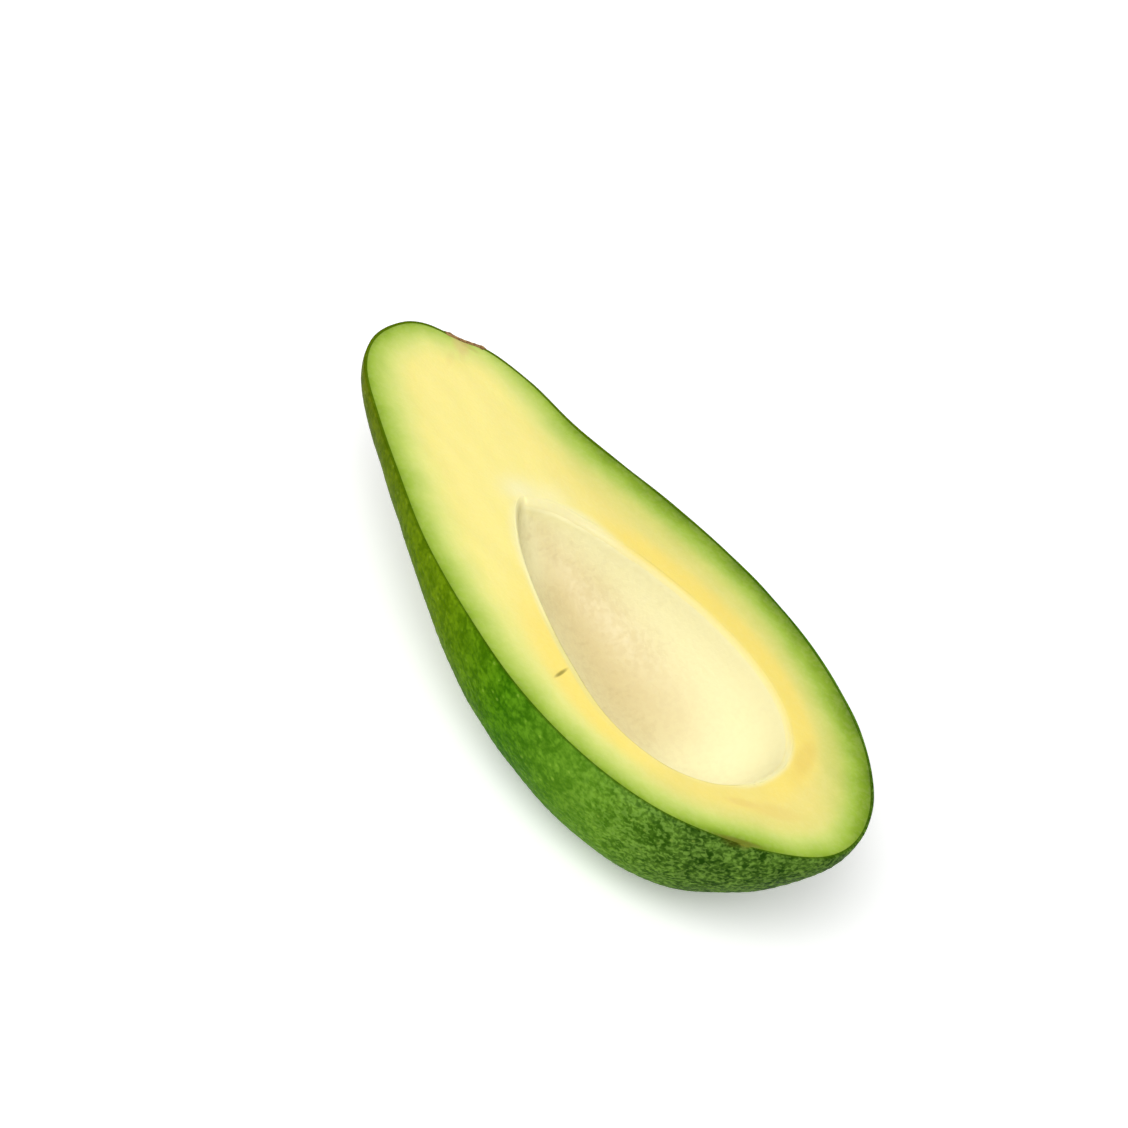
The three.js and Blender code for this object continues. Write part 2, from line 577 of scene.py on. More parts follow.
def near_spot(x, y, spot_x, spot_y, size):
    """1 at a spot of the face, fading round it as a bell."""
    return np.exp(-((x - spot_x) ** 2 + (y - spot_y) ** 2) / size**2)


# %% Green under the skin
FAR_SIDE_Y = (2, 16)
PAST_NECK_X = (-46, -18)
FAR_PAINTED_SHADE_SHIFT = 1.6
FAR_PAINTED_SHADE_STRETCH = 0.17
SCAR_PALENESS = 2.6
SCAR_PALE_SPOT = (-55.5, 12.5, 10.0)
BROAD_END_GREEN = 1.5
BROAD_END_X = (50, 57)
BROAD_END_Y = (-4, -12)

far_side = ease(y, *FAR_SIDE_Y) * ease(x, *PAST_NECK_X)
# The far side's deeper green is painted shade along that rim.
green_depth = from_skin - far_side * (FAR_PAINTED_SHADE_SHIFT + FAR_PAINTED_SHADE_STRETCH * from_skin)
green_depth += SCAR_PALENESS * near_spot(x, y, *SCAR_PALE_SPOT)
green_depth -= BROAD_END_GREEN * ease(x, *BROAD_END_X) * ease(y, *BROAD_END_Y)
write_values(flesh, "green_depth", green_depth)
print("green depth goes up to", green_depth.max().round(1), "mm")

# %% The yellow band and the mustard outside it
SIDE_Y = (-6, 6)
BAND_GONE = (7.0, 6.0)
BAND_FULL = (2.5, 1.5)
GREEN_GONE = (5.0, 3.5)
YELLOW_FULL = (9.0, 7.0)
NEAR_BAND_X = (-14, 12)
FAR_BAND_X = (-18, -6)
NEAR_BAND_LOSS = 0.6
NEAR_BAND_LOSS_X = (30, 44)
FAR_MUSTARD_DEPTH = (3.5, 8)
ROUND_END_X = (34, 44)
ROUND_END_MUSTARD_DEPTH = (3, 7)

side = ease(y, *SIDE_Y)


def by_side(near, far):
    """A value that changes softly from the near side's to the far side's."""
    return near + (far - near) * side


band = ease(from_mouth, by_side(*BAND_GONE), by_side(*BAND_FULL))
band *= ease(green_depth, by_side(*GREEN_GONE), by_side(*YELLOW_FULL))
band *= (1 - side) * ease(x, *NEAR_BAND_X) + side * ease(x, *FAR_BAND_X)
band *= 1 - NEAR_BAND_LOSS * (1 - side) * ease(x, *NEAR_BAND_LOSS_X)
write_values(flesh, "band", band)
far_mustard = far_side * ease(from_skin, *FAR_MUSTARD_DEPTH)
round_end_mustard = ease(x, *ROUND_END_X) * ease(from_skin, *ROUND_END_MUSTARD_DEPTH)
write_values(flesh, "mustard", np.maximum(far_mustard, round_end_mustard))
print("the band covers", (band > 0.5).sum(), "corners")

# %% The cream of the seat and its lip
FAR_CREAM_Y = (-4, 8)
FAR_CREAM_X = (46, 38)
POINT_CREAM_X = (-2, -16)
POINT_CREAM_START = 2.4
NEAR_CREAM_START = 1.1
NEAR_CREAM_SHIFT = 0.9
NEAR_CREAM_SHIFT_X = (8, 24)
CREAM_WIDTH = 1.4
CREAM_EXTRA_WIDTH = 1.6
NEAR_CREAM_LOSS = 0.75
NEAR_CREAM_LOSS_X = (0, 12)
NEAR_CREAM_LOSS_Y = (-2, -8)
HALO_SPOT = (-23.0, -1.2, 3.6)
SMALL_HALO_SPOT = (-20.0, 4.4, 3.4)
SMALL_HALO_SHARE = 0.6

far = ease(y, *FAR_CREAM_Y) * ease(x, *FAR_CREAM_X)
point = ease(x, *POINT_CREAM_X)
near_start = NEAR_CREAM_START - NEAR_CREAM_SHIFT * ease(x, *NEAR_CREAM_SHIFT_X)
start = near_start * (1 - far) * (1 - point) + POINT_CREAM_START * point
width = CREAM_WIDTH + CREAM_EXTRA_WIDTH * np.maximum(far, point)
# On the near side towards the broad end the lip loses its cream: painted shade on that lip.
near_painted_shade = NEAR_CREAM_LOSS * (ease(y, *NEAR_CREAM_LOSS_Y) * ease(x, *NEAR_CREAM_LOSS_X))
cream = ease(from_mouth, start, start - width) * (1 - near_painted_shade)
halo = near_spot(x, y, *HALO_SPOT) + SMALL_HALO_SHARE * near_spot(x, y, *SMALL_HALO_SPOT)
write_values(flesh, "cream", np.maximum(cream, halo))
print("cream covers", (cream > 0.5).sum(), "corners")

# %% Painted light and shade on the lip and the wall
NEAR_LIP_REACH = (0.9, 0.1)
NEAR_LIP_Y = (-4, -10)
NEAR_LIP_LENGTH = 12
LAMP_SIDE_Y = (-2, 6)
POINT_FOCUS = 6
WALL_PAINTED_SHADE_DEPTH = (0.05, 0.5)
DEEP_WALL_PAINTED_LIGHT_DEPTH = (0.35, 1.2)
TURN_GAIN = 2.4
TURN_AT_POINT = 0.5

# Painted shade on the near lip, where its edge rolls away from the lamp.
near_lip_painted_shade = ease(from_mouth, *NEAR_LIP_REACH) * ease(y, *NEAR_LIP_Y)
near_lip_painted_shade *= np.exp(-(((x - SEAT_MIDDLE_X) / NEAR_LIP_LENGTH) ** 2))
write_values(flesh, "near_lip_painted_shade", near_lip_painted_shade)
# Painted shade on the lip's top, where it catches the lamp more than the level face.
write_values(flesh, "wall_painted_shade", ease(below, *WALL_PAINTED_SHADE_DEPTH))
# Painted light on the steeper wall below it, which the lamp reaches less.
write_values(flesh, "deep_wall_painted_light", ease(below, *DEEP_WALL_PAINTED_LIGHT_DEPTH))

# How much more the far lip faces the lamp than the level face does, for the material to darken.
point_end = np.clip((1 + (SEAT_MIDDLE_X - x) / SEAT_HALF_LENGTH) / 2, 0, 1) ** POINT_FOCUS
upright = 1 - np.clip(below / (LIP_RADIUS + FAR_POINT_SOFTNESS * point_end), 0, 1)
turned = np.clip(TURN_GAIN * (upright + np.sqrt(1 - upright**2) - 1), 0, 1)
lip_turn = turned * ease(y, *LAMP_SIDE_Y) * (1 + TURN_AT_POINT * point_end)
write_values(flesh, "lip_turn", lip_turn)
print("the lip turns", (lip_turn > 0.5).sum(), "corners to the lamp")

# %% [markdown]
# ## The knife's marks
#
# A knife never leaves a perfect plane.  The face gets slight waves, deepest away from its rim,
# and one small nick beside the seat.  Both are moves of the corners, so they take real light.

# %% The knife's waves and the nick
KNIFE_WAVE = 0.10
KNIFE_WAVE_LENGTH = 11.0
KNIFE_WAVE_WIDTH = 4
KNIFE_LAYER = 3.1
FACE_DISH = 0.05
RIM_FADE = 3
RIM_TOLERANCE = 0.05
NICK_MIDDLE = (16.5, -22.0)
NICK_ANGLE = math.radians(106)
NICK_LENGTH = 1.5
NICK_WIDTH = 0.35
NICK_DEPTH = 0.2

on_face = (below < FACE_TOLERANCE) & (from_skin > RIM_TOLERANCE)
wave = np.array(
    [
        noise.noise(Vector((x / KNIFE_WAVE_LENGTH, y / KNIFE_WAVE_WIDTH, KNIFE_LAYER)))
        for x, y, z in places
    ]
)
fade = np.clip(from_skin / RIM_FADE, 0, 1)
away = places[:, :2] - NICK_MIDDLE
along = away @ (math.cos(NICK_ANGLE), math.sin(NICK_ANGLE))
across = away @ (-math.sin(NICK_ANGLE), math.cos(NICK_ANGLE))
nick = np.exp(-((along / NICK_LENGTH) ** 2) - (across / NICK_WIDTH) ** 2)
places[:, 2] += np.where(on_face, KNIFE_WAVE * wave * fade - FACE_DISH * fade, 0)
places[:, 2] -= np.where(on_face, NICK_DEPTH * nick, 0)
set_finished(flesh, places)
describe(flesh)

# %% [markdown]
# ## The lining of the seat
#
# The stone's papery coat leaves a thin pale skin in the hollow, with fine wrinkles and tan
# patches.  It is its own sheet, a hair's breadth above the flesh: the same bowl with wrinkles and
# three small dents pressed in, cut off a little below the lip, and given its thickness by a
# Solidify modifier.  Its edge dips just under the flesh, so no step shows.

# %% The lining's wrinkles
WRINKLE_HEIGHT = 0.07
BEND_SIZE = 5
BEND_REACH = 1.6
BEND_LAYER = 1.7
FOLD_PITCH = 1.2
FOLD_RUN = 2.2
FINE_PITCH = 0.6
FINE_RUN = 0.9
FINE_SHARE = 0.4
FINE_LAYER = 9.1
PATCH_SIZE = 7
PATCH_LAYER = 5.2
PATCH_GAIN = 1.6
PATCH_MEAN = 0.55
PATCH_LEAST = 0.15
CALM_START = 18
CALM_LENGTH = 20
CALM_SHARE = 0.8
POINT_START_X = -7
POINT_LENGTH = 8
POINT_WRINKLES = 0.3
DENTS = ((-17.9, 3.3, -2.6), (-20.1, 0.8, -2.4), (-16.0, 4.2, -3.1))
DENT_SIZE = 0.7
DENT_DEPTH = 0.75


def clamp(value, low, high):
    """The value, or the limit that it passes."""
    return min(max(value, low), high)


def wrinkle_height(place):
    """Fine folds across the seat, calm at its round end, with three small dents at its point."""
    x, y, z = place
    bend = noise.noise(Vector((x / BEND_SIZE, y / BEND_SIZE, BEND_LAYER))) * BEND_REACH
    fold = noise.noise(Vector((x / FOLD_PITCH + bend, y / FOLD_RUN, z / FOLD_RUN)))
    fine = noise.noise(Vector((x / FINE_PITCH, y / FINE_RUN + bend, z / FINE_RUN + FINE_LAYER)))
    patch = noise.noise(Vector((x / PATCH_SIZE, y / PATCH_SIZE, z / PATCH_SIZE + PATCH_LAYER)))
    strength = clamp(patch * PATCH_GAIN + PATCH_MEAN, PATCH_LEAST, 1.0)
    strength *= 1 - CALM_SHARE * clamp((x + y - CALM_START) / CALM_LENGTH, 0, 1)
    strength += POINT_WRINKLES * clamp((POINT_START_X - x) / POINT_LENGTH, 0, 1)
    height = ((1 - FINE_SHARE) * fold + FINE_SHARE * fine) * strength
    for dent in DENTS:
        reach = (Vector(place) - Vector(dent)).length / DENT_SIZE
        height -= DENT_DEPTH * math.exp(-(reach**2))
    return height


# %% Shape the lining
LINING_ROWS = 260
LINING_FACETS = 130
LINING_GAP = 0.07
LINING_EDGE_GAP = -0.02
LINING_TOP = -0.8
LINING_OPEN_DEPTH = 1.8
LINING_THICKNESS = 0.05
LINING_SNAP = 0.1


def seat_normal(theta, phi):
    """The direction out of the flesh into the hollow."""
    inner = np.clip(theta, POLE_GUARD, math.pi - POLE_GUARD)
    along = seat_point(inner + ANGLE_STEP, phi) - seat_point(inner - ANGLE_STEP, phi)
    turn = np.clip(phi, POLE_GUARD, math.pi - POLE_GUARD)
    ring = seat_point(inner, turn + ANGLE_STEP) - seat_point(inner, turn - ANGLE_STEP)
    normal = np.cross(along, ring)
    return normal / np.linalg.norm(normal, axis=1)[:, None]


lining, theta, phi = half_ball("seat_lining", LINING_ROWS, LINING_FACETS)
theta = even_rows(theta)
surface = seat_point(theta, phi)
wrinkles = np.array([wrinkle_height(place) for place in surface])
open_share = ease(-surface[:, 2], -LINING_TOP, LINING_OPEN_DEPTH)
gap = LINING_EDGE_GAP + (LINING_GAP - LINING_EDGE_GAP + WRINKLE_HEIGHT * wrinkles) * open_share
surface += seat_normal(theta, phi) * gap[:, None]
set_finished(lining, surface)
write_values(lining, "wrinkle", wrinkles)
print("wrinkles run from", wrinkles.min().round(2), "to", wrinkles.max().round(2))

# %% [markdown]
# ## Painted light and shade in the seat
#
# The hollow is brightest on its far wall and at its round end, and dim and tan on the floor by
# the near wall.  Soft lamps don't part these enough, so this light and shade is painted into the
# lining's colour through a number for every corner.  It starts fully dim, as painted shade, and
# each entry of a list takes a share of the dimness away.  Some entries use the place where a
# corner shows against the level of the face, seen from the camera: a deep one shows further
# towards the broad end and the near side.

# %% The lining's painted light and shade
EDGE_CREAM_DEPTH = 1.6
POINT_CREAM_DEPTH = 3.0
POINT_CREAM_DEPTH_X = (-8, -17)
SIGHT_ALONG = 0.7
SIGHT_ACROSS = 1.1
NEAR_WALL_X = (44, 20)
NEAR_WALL_POINT_X = (0, -8)
NEAR_WALL_WIDTH = 6
NEAR_WALL_PAINTED_LIGHT = 0.66
NEAR_WALL_POINT_WIDTH = 2
NEAR_WALL_POINT_PAINTED_LIGHT = 0.2

x, y, z = surface.T
depth = -z
# The lip's cream runs down the lining's top, deepest at the point: the lip's own colour, and
# painted light over the shade of the steep wall there.
cream_depth = EDGE_CREAM_DEPTH + POINT_CREAM_DEPTH * ease(x, *POINT_CREAM_DEPTH_X)
write_values(lining, "cream", ease(depth, 0, cream_depth))
seen_x = x + SIGHT_ALONG * depth
seen_y = y - SIGHT_ACROSS * depth
share = np.clip((SEAT_MIDDLE_X - seen_x) / SEAT_HALF_LENGTH, -1, 1)
near_edge, far_edge, _ = station_at(SEAT_STATIONS, np.arccos(share) / math.pi).T
from_near = seen_y - near_edge
across_share = from_near / np.maximum(far_edge - near_edge, 1)
at_point = ease(seen_x, *NEAR_WALL_POINT_X)
near_width = NEAR_WALL_WIDTH + NEAR_WALL_POINT_WIDTH * at_point
near_wall_painted_light = (NEAR_WALL_PAINTED_LIGHT + NEAR_WALL_POINT_PAINTED_LIGHT * at_point) * ease(seen_x, *NEAR_WALL_X)
# Each entry below lifts a share of the painted shade.
dim = np.ones(len(surface))
for light, value, low, high in (
    # Across to the far wall.
    (0.97, across_share, 0.16, 0.75),
    # Along to the round end.
    (0.9, seen_x, 24, 46),
    # Into the pointed end, and its very tip.
    (0.4, x, -5, -15),
    (0.9, x, -17, -20.5),
    # The near wall.
    (near_wall_painted_light, from_near, near_width, 0),
):
    dim *= 1 - light * ease(value, low, high)
# The painted light is kept with the lining as its brightness.
write_values(lining, "brightness", 1 - dim)
print("the lining is dim at", (dim > 0.5).sum(), "of", len(dim), "corners")

# %% Trim the lining and give it its thickness
cut_off_above(lining, LINING_TOP, LINING_SNAP, closed=False)
sheet = lining.modifiers.new("sheet", "SOLIDIFY")
sheet.thickness = LINING_THICKNESS * MM
sheet.offset = -1
bpy.ops.object.modifier_apply(modifier=sheet.name)
describe(lining)

# %% [markdown]
# ## The stem's scar
#
# Where the stem was, a thin plate of cork sits in the dent, with a thicker ring round it.  Cut
# through with the fruit, it shows as a short brown line that ends in two knobs.  It starts as a
# UV sphere pressed flat.  Its corners are roughened and laid on the fruit's own surface with the
# same two angles as the skin, and a bisect takes off the part above the cut.

# %% Shape the scar
SCAR_SEGMENTS = 128
SCAR_RINGS = 64
SCAR_RADIUS = 3.9
SCAR_OUTSIDE = 0.14
SCAR_INSIDE = 0.66
SCAR_RING = 0.34
SCAR_RING_AT = 0.82
SCAR_RING_WIDTH = 0.12
SCAR_RING_INSIDE = 0.6
SCAR_ROUGHNESS = 0.10
SCAR_ROUGHNESS_OUTSIDE = 0.12
SCAR_ROUGHNESS_SCALE = 3.2
SCAR_FALLOFF = 0.8
SCAR_STEP = 2.0
SCAR_OCTAVES = 4
SCAR_EDGE_POWER = 6
SCAR_ABOVE_FACE = 0.04
SCAR_SNAP = 1e-4
TURN_STEP = 0.01

bpy.ops.object.select_all(action="DESELECT")
bpy.ops.mesh.primitive_uv_sphere_add(segments=SCAR_SEGMENTS, ring_count=SCAR_RINGS, radius=1)
scar = bpy.context.object
scar.name = "stem_scar"
ball = corners(scar)
rough = np.array(
    [
        noise.fractal(Vector(point) * SCAR_ROUGHNESS_SCALE, SCAR_FALLOFF, SCAR_STEP, SCAR_OCTAVES)
        for point in ball
    ]
)
dent_theta = math.acos(-STEM_DENT[0] / FRUIT_HALF_LENGTH)
ends = fruit_point(
    np.array([dent_theta - TURN_STEP, dent_theta + TURN_STEP]), np.full(2, math.pi)
)
rim_step = np.linalg.norm(ends[1] - ends[0]) / (2 * TURN_STEP)
dent_deep = station_at(FRUIT_STATIONS, np.array([dent_theta / math.pi]))[0, 2]
radius = SCAR_RADIUS * (1 + SCAR_ROUGHNESS * rough)
theta = dent_theta + ball[:, 0] * radius / rim_step
phi = math.pi - np.arcsin(np.clip(ball[:, 1] * radius / dent_deep, -1, 1))
from_middle = np.hypot(ball[:, 0], ball[:, 1])
ring = SCAR_RING * np.exp(-(((from_middle - SCAR_RING_AT) / SCAR_RING_WIDTH) ** 2))
edge = np.sqrt(np.clip(1 - from_middle**SCAR_EDGE_POWER, 0, 1))
outer = (SCAR_OUTSIDE + ring + SCAR_ROUGHNESS_OUTSIDE * rough) * edge
inner = -(SCAR_INSIDE + SCAR_RING_INSIDE * ring + SCAR_ROUGHNESS * rough) * edge
lift = np.where(ball[:, 2] > 0, outer, inner)
set_finished(scar, fruit_point(theta, phi) + fruit_normal(theta, phi) * lift[:, None])
cut_off_above(scar, SCAR_ABOVE_FACE, SCAR_SNAP, closed=True)
describe(scar)

# %% [markdown]
# ## Materials: helpers
#
# Every finish is built from nodes that read Object coordinates or the numbers kept with the mesh.
# Small helpers keep the wiring short: each adds a node or two and returns the output that the
# next step needs.

# %% Node helpers
def wire(tree, node, sockets):
    """Fills a node's sockets: a socket given here is linked in, and any other value is set."""
    for name, value in sockets.items():
        if isinstance(value, bpy.types.NodeSocket):
            tree.links.new(value, node.inputs[name])
        else:
            node.inputs[name].default_value = value


def put(tree, kind, sockets=None, **settings):
    """Adds a node, makes its settings and fills its sockets."""
    made = tree.nodes.new("ShaderNode" + kind)
    for name, value in settings.items():
        setattr(made, name, value)
    wire(tree, made, sockets or {})
    return made


def calc(tree, operation, *values, clamp=False):
    """One step of arithmetic."""
    return put(
        tree, "Math", dict(enumerate(values)), operation=operation, use_clamp=clamp
    ).outputs[0]


def mix(tree, share, first, second):
    """A colour between two others."""
    return put(tree, "Mix", {0: share, 6: first, 7: second}, data_type="RGBA").outputs[2]


def between(tree, share, first, second):
    """A number between two others."""
    return put(tree, "Mix", {0: share, 2: first, 3: second}, data_type="FLOAT").outputs[0]


def spread(tree, value, low, high, to_low=0.0, to_high=1.0):
    """Maps a value from one range to another, with a soft start and end."""
    sockets = {"Value": value, "From Min": low, "From Max": high,
               "To Min": to_low, "To Max": to_high}
    made = put(tree, "MapRange", sockets, interpolation_type="SMOOTHSTEP")
    return made.outputs["Result"]


def cloud(tree, place, scale, **sockets):
    """A noise pattern, from 0 to 1."""
    return put(tree, "TexNoise", {"Vector": place, "Scale": scale, **sockets}).outputs["Fac"]


def relief(tree, height, strength, depth):
    """A fine bump from a height pattern; its depth is in metres."""
    sockets = {"Height": height, "Strength": strength, "Distance": depth}
    return put(tree, "Bump", sockets).outputs[0]


def paint(red, green, blue):
    """A colour as it looks in the finished picture, 0 to 255, turned into the surface's own."""
    values = [part / 255 for part in (red, green, blue)]
    linear = [v / 12.92 if v <= 0.04045 else ((v + 0.055) / 1.055) ** 2.4 for v in values]
    return linear + [1]


def ramp(tree, value, stops):
    """A colour band: stops are (place, colour) from left to right."""
    made = put(tree, "ValToRGB", {"Fac": value})
    band = made.color_ramp
    band.elements[0].position, band.elements[0].color = stops[0]
    band.elements[1].position, band.elements[1].color = stops[-1]
    for position, colour in stops[1:-1]:
        band.elements.new(position).color = colour
    return made.outputs["Color"]


def attribute(tree, name):
    """A number kept with the mesh."""
    return put(tree, "Attribute", attribute_name=name).outputs["Fac"]


def millimetres(tree):
    """Object coordinates counted in millimetres."""
    place = put(tree, "TexCoord").outputs["Object"]
    return put(tree, "Mapping", {"Vector": place, "Scale": (1 / MM,) * 3}).outputs[0]


def start_finish(name):
    """A new material.  Returns it, its nodes and its main shader."""
    material = bpy.data.materials.new(name)
    material.use_nodes = True
    return material, material.node_tree, material.node_tree.nodes["Principled BSDF"]


print("butter yellow as the surface has it:", [round(part, 3) for part in paint(255, 239, 145)])

# %% Marks
MARK_HALF_DEPTH = 1.5
MARK_CORE = 0.3


def mark(tree, place, middle, angle, length, width):
    """1 in the middle of a long oval mark on the face, fading to 0 at its edge."""
    sockets = {"Vector": place, "Location": (*middle, FACE_HEIGHT), "Rotation": (0, 0, angle),
               "Scale": (length / 2, width / 2, MARK_HALF_DEPTH)}
    local = put(tree, "Mapping", sockets, vector_type="TEXTURE").outputs[0]
    reach = put(tree, "VectorMath", {0: local}, operation="LENGTH").outputs["Value"]
    return spread(tree, reach, 1.0, MARK_CORE)


def stain(tree, place, colour, marks):
    """Lays marks over a colour: (middle, angle, length, width, strength, tint)."""
    for middle, angle, length, width, strength, tint in marks:
        share = calc(tree, "MULTIPLY", mark(tree, place, middle, angle, length, width), strength)
        colour = mix(tree, share, colour, tint)
    return colour


# %% [markdown]
# All four finishes are living matter and vary in the same way: broad soft patches with a fine
# grain on top.  That shared effect is one node group with named sockets.

# %% The shared group of patches and grain
def build_patches_and_grain():
    """Builds the group.  Its outputs are the patches, the grain, and the two together."""
    group = bpy.data.node_groups.new("patches_and_grain", "ShaderNodeTree")
    for name, kind, default in (
        ("Place", "NodeSocketVector", None),
        ("Patch Size", "NodeSocketFloat", 8.0),
        ("Grain Size", "NodeSocketFloat", 0.8),
        ("Grain Share", "NodeSocketFloat", 0.35),
    ):
        socket = group.interface.new_socket(name, in_out="INPUT", socket_type=kind)
        if default is not None:
            socket.default_value = default
    for name in ("Patches", "Grain", "Both"):
        group.interface.new_socket(name, in_out="OUTPUT", socket_type="NodeSocketFloat")
    given = group.nodes.new("NodeGroupInput")
    result = group.nodes.new("NodeGroupOutput")
    amounts = []
    for size, detail in (("Patch Size", 2.0), ("Grain Size", 3.0)):
        scale = calc(group, "DIVIDE", 1.0, given.outputs[size])
        amount = cloud(group, given.outputs["Place"], scale, Detail=detail, Roughness=0.55)
        amounts.append(spread(group, amount, 0.3, 0.7))
    both = between(group, given.outputs["Grain Share"], *amounts)
    wire(group, result, {"Patches": amounts[0], "Grain": amounts[1], "Both": both})
    return group


PATCHES_AND_GRAIN = build_patches_and_grain()


def variation(tree, place, patch_size, grain_size, grain_share):
    """Uses the group, with its two sizes in millimetres."""
    made = tree.nodes.new("ShaderNodeGroup")
    made.node_tree = PATCHES_AND_GRAIN
    wire(tree, made, {"Place": place, "Patch Size": patch_size,
                      "Grain Size": grain_size, "Grain Share": grain_share})
    return made.outputs


print("the shared group holds", len(PATCHES_AND_GRAIN.nodes), "nodes")

# %% [markdown]
# ## The skin's finish
#
# Deep green, paler on the crowns of the pebbles and darker in the grooves, with soft specks and
# short wandering streaks.  Both greens change along the fruit, and at the broad end they break up
# into pale crumbs with dark gaps; the pale crumbs are painted glints of the white table on the
# pebbles.  The shine fades where the skin turns away from the eye, so its edge doesn't go grey.
# The thin cut edge has its own green, told apart by a kept number.

# %% Greens of the skin
GREEN_HALF_LENGTH = 66.0
GROOVE_GREENS = [
    (0.10, paint(74, 92, 2)),
    (0.45, paint(72, 102, 0)),
    (0.62, paint(44, 92, 2)),
    (0.80, paint(74, 118, 20)),
    (0.91, paint(34, 66, 8)),
]
CREST_GREENS = [
    (0.10, paint(98, 112, 8)),
    (0.45, paint(102, 132, 10)),
    (0.62, paint(80, 130, 14)),
    (0.80, paint(108, 150, 44)),
    (0.91, paint(92, 128, 44)),
]
EDGE_GREENS = [(0.1, paint(84, 116, 10)), (0.5, paint(66, 98, 8))]
GLINT_GREEN = paint(130, 166, 74)
GAP_GREEN = paint(24, 54, 4)
SPECK_GREEN = paint(160, 188, 78)
EDGE_MARKS = (
    ((57.4, -15.2), 0.94, 6.0, 2.4, 0.5, paint(72, 62, 10)),
    ((58.8, -13.6), 0.94, 3.2, 1.4, 0.4, paint(170, 166, 66)),
)
SPOTS_PER_MM = 0.82
STREAKS_PER_MM = 0.85
GLINTS_PER_MM = 1.25

# %% Skin finish
skin_finish, tree, shader = start_finish("avocado_skin_finish")
place = millimetres(tree)
vary = variation(tree, place, 3.2, 0.5, 0.3)
along = put(tree, "SeparateXYZ", {0: place}).outputs["X"]
along = calc(tree, "ADD", along, GREEN_HALF_LENGTH)
along = calc(tree, "DIVIDE", along, 2 * GREEN_HALF_LENGTH)

cells = put(tree, "TexVoronoi", {"Vector": place, "Scale": SPOTS_PER_MM})
chance = put(tree, "SeparateColor", {"Color": cells.outputs["Color"]}).outputs["Red"]
spot = spread(tree, cells.outputs["Distance"], 0.7, 0.1)
spot = calc(tree, "MULTIPLY", spot, spread(tree, chance, 0.0, 1.0, 0.35, 1.0))
streaks = cloud(tree, place, STREAKS_PER_MM, Detail=1.0, Distortion=0.6)
mottle = between(tree, 0.5, spread(tree, streaks, 0.3, 0.7), spot)
crown = spread(tree, attribute(tree, "pebble"), 0.1, 0.9)
mottle = calc(tree, "MULTIPLY", mottle, spread(tree, crown, 0.0, 1.0, 0.8, 1.1))
mottle = between(tree, 0.4, mottle, vary["Both"])
groove, crest = ramp(tree, along, GROOVE_GREENS), ramp(tree, along, CREST_GREENS)
green = mix(tree, spread(tree, mottle, 0.1, 0.75), groove, crest)

# Painted glints at the broad end: pale crumbs of the table's reflection, with darker gaps between.
broad_end = spread(tree, along, 0.72, 0.86)
glints_and_gaps = cloud(tree, place, GLINTS_PER_MM, Detail=1.0, Distortion=0.5)
glints_and_gaps = calc(tree, "MULTIPLY", spread(tree, glints_and_gaps, 0.38, 0.62, -0.36, 0.30), broad_end)
green = mix(tree, calc(tree, "MAXIMUM", glints_and_gaps, 0.0), green, GLINT_GREEN)
gaps = calc(tree, "MULTIPLY", calc(tree, "MINIMUM", glints_and_gaps, 0.0), -1.0)
green = mix(tree, gaps, green, GAP_GREEN)
speck = spread(tree, calc(tree, "MULTIPLY", spot, chance), 0.7, 0.95)
green = mix(tree, calc(tree, "MULTIPLY", speck, 0.22), green, SPECK_GREEN)
green = mix(tree, attribute(tree, "on_skin"), ramp(tree, along, EDGE_GREENS), green)
green = stain(tree, place, green, EDGE_MARKS)

facing_away = put(tree, "LayerWeight", {"Blend": 0.5}).outputs["Facing"]
wire(tree, shader, {
    "Base Color": green,
    "Roughness": spread(tree, vary["Grain"], 0.0, 1.0, 0.26, 0.42),
    "Normal": relief(tree, calc(tree, "ADD", vary["Grain"], spot), 0.4, 0.00008),
    "Specular IOR Level": spread(tree, facing_away, 0.05, 0.28, 0.28, 0.002),
})
print("skin finish:", len(tree.nodes), "nodes")

# %% [markdown]
# ## The flesh's finish
#
# One colour band takes the cut from green at the skin through pale yellow-green to butter yellow.
# The tones kept with the mesh are laid over it one after another, each with its own colour and
# strength; those on the lip and the wall are painted light and shade.  Last come the marks: the
# nick, a few bruises, and the stain and strands by the scar.
# Light passes a little way into ripe flesh, so some subsurface softens it.

# %% Colours of the flesh
BAND_START = 2.4
BAND_LENGTH = 16.0
FLESH_COLOURS = [
    (0.0, paint(66, 98, 4)),
    (0.075, paint(112, 146, 14)),
    (0.155, paint(138, 170, 36)),
    (0.225, paint(164, 193, 66)),
    (0.30, paint(184, 206, 90)),
    (0.40, paint(208, 221, 114)),
    (0.525, paint(232, 232, 134)),
    (0.71, paint(250, 237, 140)),
    (0.9, paint(255, 239, 145)),
]
